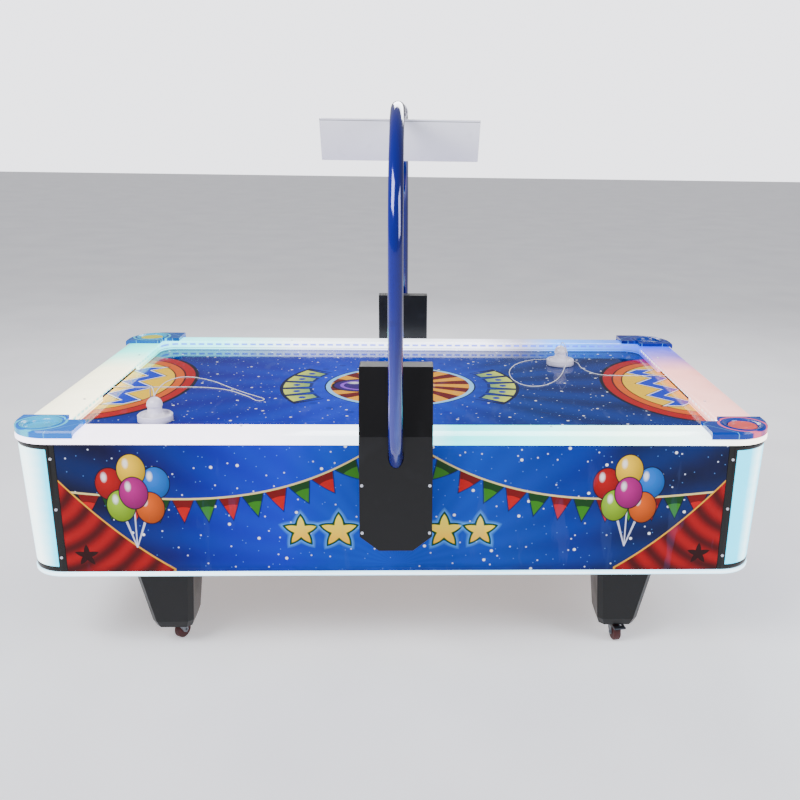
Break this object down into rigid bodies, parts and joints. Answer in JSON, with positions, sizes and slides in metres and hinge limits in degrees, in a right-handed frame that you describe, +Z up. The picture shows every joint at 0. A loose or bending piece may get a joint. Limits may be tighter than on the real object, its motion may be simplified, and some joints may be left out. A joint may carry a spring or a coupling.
{
  "type": "air hockey table",
  "caption": "Air hockey table with lit rails, goal slots, tethered mallets, an overhead scoreboard on an arch, boxed legs and swivel casters.",
  "frame": {"origin": "on the floor under the middle of the table", "axes": "+X along the table, to the right seen from the front; +Y across it, to the rear; +Z up"},
  "size_m": [2.1, 1.598, 1.564],
  "materials": {
    "fibreboard": "bare fibreboard",
    "printed_panel": "laminated board with a printed blue picture",
    "corner_light": "lit milky acrylic",
    "black_trim": "black satin plastic",
    "clear_rim": "pale clear acrylic",
    "led_strip": "light strip",
    "lit_rail": "milky acrylic lit from inside",
    "blue_cover": "glossy blue acrylic",
    "cup": "glossy cyan plastic",
    "playfield": "glossy laminate with a printed blue picture",
    "grey_plastic": "moulded grey plastic",
    "dark_metal": "black powder coat",
    "bright_steel": "zinc-plated sheet steel",
    "switch_red": "glossy red",
    "leg_black": "black satin powder coat",
    "wheel_red": "dark red polyurethane",
    "arch_blue": "glossy blue paint",
    "score_case": "pale lavender case",
    "display_red": "dark red display window",
    "screw_white": "white screw caps",
    "mallet_white": "glossy white plastic",
    "tether_white": "white braided cord",
    "puck_orange": "orange-red plastic",
    "puck_yellow": "yellow plastic"
  },
  "bodies": {
    "table": {"base_board": "fibreboard", "top_frame": "fibreboard", "corner_posts": "fibreboard", "front_panel": "printed_panel", "rear_panel": "printed_panel", "left_end_panel": "printed_panel", "right_end_panel": "printed_panel", "corner_lights": "corner_light", "corner_frames": "black_trim", "bottom_rim": "clear_rim", "led_strips": "led_strip", "front_rail": "lit_rail", "rear_rail": "lit_rail", "left_rail": "lit_rail", "right_rail": "lit_rail", "corner_cover_front_left": "blue_cover", "corner_cover_front_right": "blue_cover", "corner_cover_rear_left": "blue_cover", "corner_cover_rear_right": "blue_cover", "corner_cups": "cup", "playfield": "playfield", "air_plenum": "fibreboard", "blower_housing": "grey_plastic", "blower_motor": "dark_metal", "goal_chutes": "grey_plastic", "control_box": "grey_plastic", "power_supply": "bright_steel", "power_inlet": "black_trim", "door_hinge": "bright_steel", "leg_front_left": "leg_black", "leg_front_right": "leg_black", "leg_rear_left": "leg_black", "leg_rear_right": "leg_black", "caster_plates": "bright_steel", "arch_tube": "arch_blue", "arch_sockets": "dark_metal", "mount_box_front": "dark_metal", "mount_box_rear": "dark_metal", "scoreboard": "score_case", "score_displays": "display_red", "panel_screws": "screw_white", "tether_left": "tether_white", "tether_right": "tether_white"},
    "impeller": {"blower_impeller": "grey_plastic"},
    "rocker": {"power_switch": "switch_red"},
    "door": {"service_door": "black_trim"},
    "mallet_left_body": {"mallet_left": "mallet_white"},
    "mallet_right_body": {"mallet_right": "mallet_white"},
    "puck_front_body": {"puck_front": "puck_orange"},
    "puck_rear_body": {"puck_rear": "puck_yellow"},
    "swivel_front_left": {"caster_fork_front_left": "bright_steel"},
    "wheel_front_left_body": {"wheel_front_left": "wheel_red"},
    "brake_front_left_body": {"brake_front_left": "bright_steel"},
    "swivel_front_right": {"caster_fork_front_right": "bright_steel"},
    "wheel_front_right_body": {"wheel_front_right": "wheel_red"},
    "brake_front_right_body": {"brake_front_right": "bright_steel"},
    "swivel_rear_left": {"caster_fork_rear_left": "bright_steel"},
    "wheel_rear_left_body": {"wheel_rear_left": "wheel_red"},
    "swivel_rear_right": {"caster_fork_rear_right": "bright_steel"},
    "wheel_rear_right_body": {"wheel_rear_right": "wheel_red"}
  },
  "joints": [
    {"name": "impeller_spin", "type": "hinge", "parent": "table", "child": "impeller", "pos_m": [0, 0, 0.44], "axis": [0, 0, 1], "continuous": true},
    {"name": "power_rocker", "type": "hinge", "parent": "table", "child": "rocker", "pos_m": [0.815, 0.61616, 0.3401], "axis": [1, 0, 0], "range_deg": [-8, 8]},
    {"name": "service_door_hinge", "type": "hinge", "parent": "table", "child": "door", "pos_m": [0.45, 0.63574, 0.558], "axis": [1, 0, 0], "range_deg": [0, 95]},
    {"name": "mallet_left_slide", "type": "slide", "parent": "table", "child": "mallet_left_body", "axis": [1, 0, 0], "range_m": [-0.15, 0.45], "deforming": ["tether_left"]},
    {"name": "mallet_right_slide", "type": "slide", "parent": "table", "child": "mallet_right_body", "axis": [1, 0, 0], "range_m": [-0.4, 0.25], "deforming": ["tether_right"]},
    {"name": "puck_front_lift", "type": "slide", "parent": "table", "child": "puck_front_body", "axis": [0, 0, 1], "range_m": [0, 0.05]},
    {"name": "puck_rear_lift", "type": "slide", "parent": "table", "child": "puck_rear_body", "axis": [0, 0, 1], "range_m": [0, 0.05]},
    {"name": "caster_front_left_swivel", "type": "hinge", "parent": "table", "child": "swivel_front_left", "pos_m": [-0.653, -0.49, 0.058], "axis": [0, 0, 1], "continuous": true},
    {"name": "wheel_front_left_roll", "type": "hinge", "parent": "swivel_front_left", "child": "wheel_front_left_body", "pos_m": [-0.644, -0.47441, 0.025], "axis": [-0.866, 0.5, 0], "continuous": true},
    {"name": "brake_front_left_press", "type": "hinge", "parent": "swivel_front_left", "child": "brake_front_left_body", "pos_m": [-0.645, -0.47614, 0.0535], "axis": [-0.866, 0.5, 0], "range_deg": [0, 12]},
    {"name": "caster_front_right_swivel", "type": "hinge", "parent": "table", "child": "swivel_front_right", "pos_m": [0.653, -0.49, 0.058], "axis": [0, 0, 1], "continuous": true},
    {"name": "wheel_front_right_roll", "type": "hinge", "parent": "swivel_front_right", "child": "wheel_front_right_body", "pos_m": [0.65613, -0.50773, 0.025], "axis": [0.9848, 0.1736, 0], "continuous": true},
    {"name": "brake_front_right_press", "type": "hinge", "parent": "swivel_front_right", "child": "brake_front_right_body", "pos_m": [0.65578, -0.50576, 0.0535], "axis": [0.9848, 0.1736, 0], "range_deg": [0, 12]},
    {"name": "caster_rear_left_swivel", "type": "hinge", "parent": "table", "child": "swivel_rear_left", "pos_m": [-0.653, 0.49, 0.058], "axis": [0, 0, 1], "continuous": true},
    {"name": "wheel_rear_left_roll", "type": "hinge", "parent": "swivel_rear_left", "child": "wheel_rear_left_body", "pos_m": [-0.63669, 0.49761, 0.025], "axis": [-0.4226, 0.9063, 0], "continuous": true},
    {"name": "caster_rear_right_swivel", "type": "hinge", "parent": "table", "child": "swivel_rear_right", "pos_m": [0.653, 0.49, 0.058], "axis": [0, 0, 1], "continuous": true},
    {"name": "wheel_rear_right_roll", "type": "hinge", "parent": "swivel_rear_right", "child": "wheel_rear_right_body", "pos_m": [0.63741, 0.481, 0.025], "axis": [0.5, -0.866, 0], "continuous": true}
  ]
}
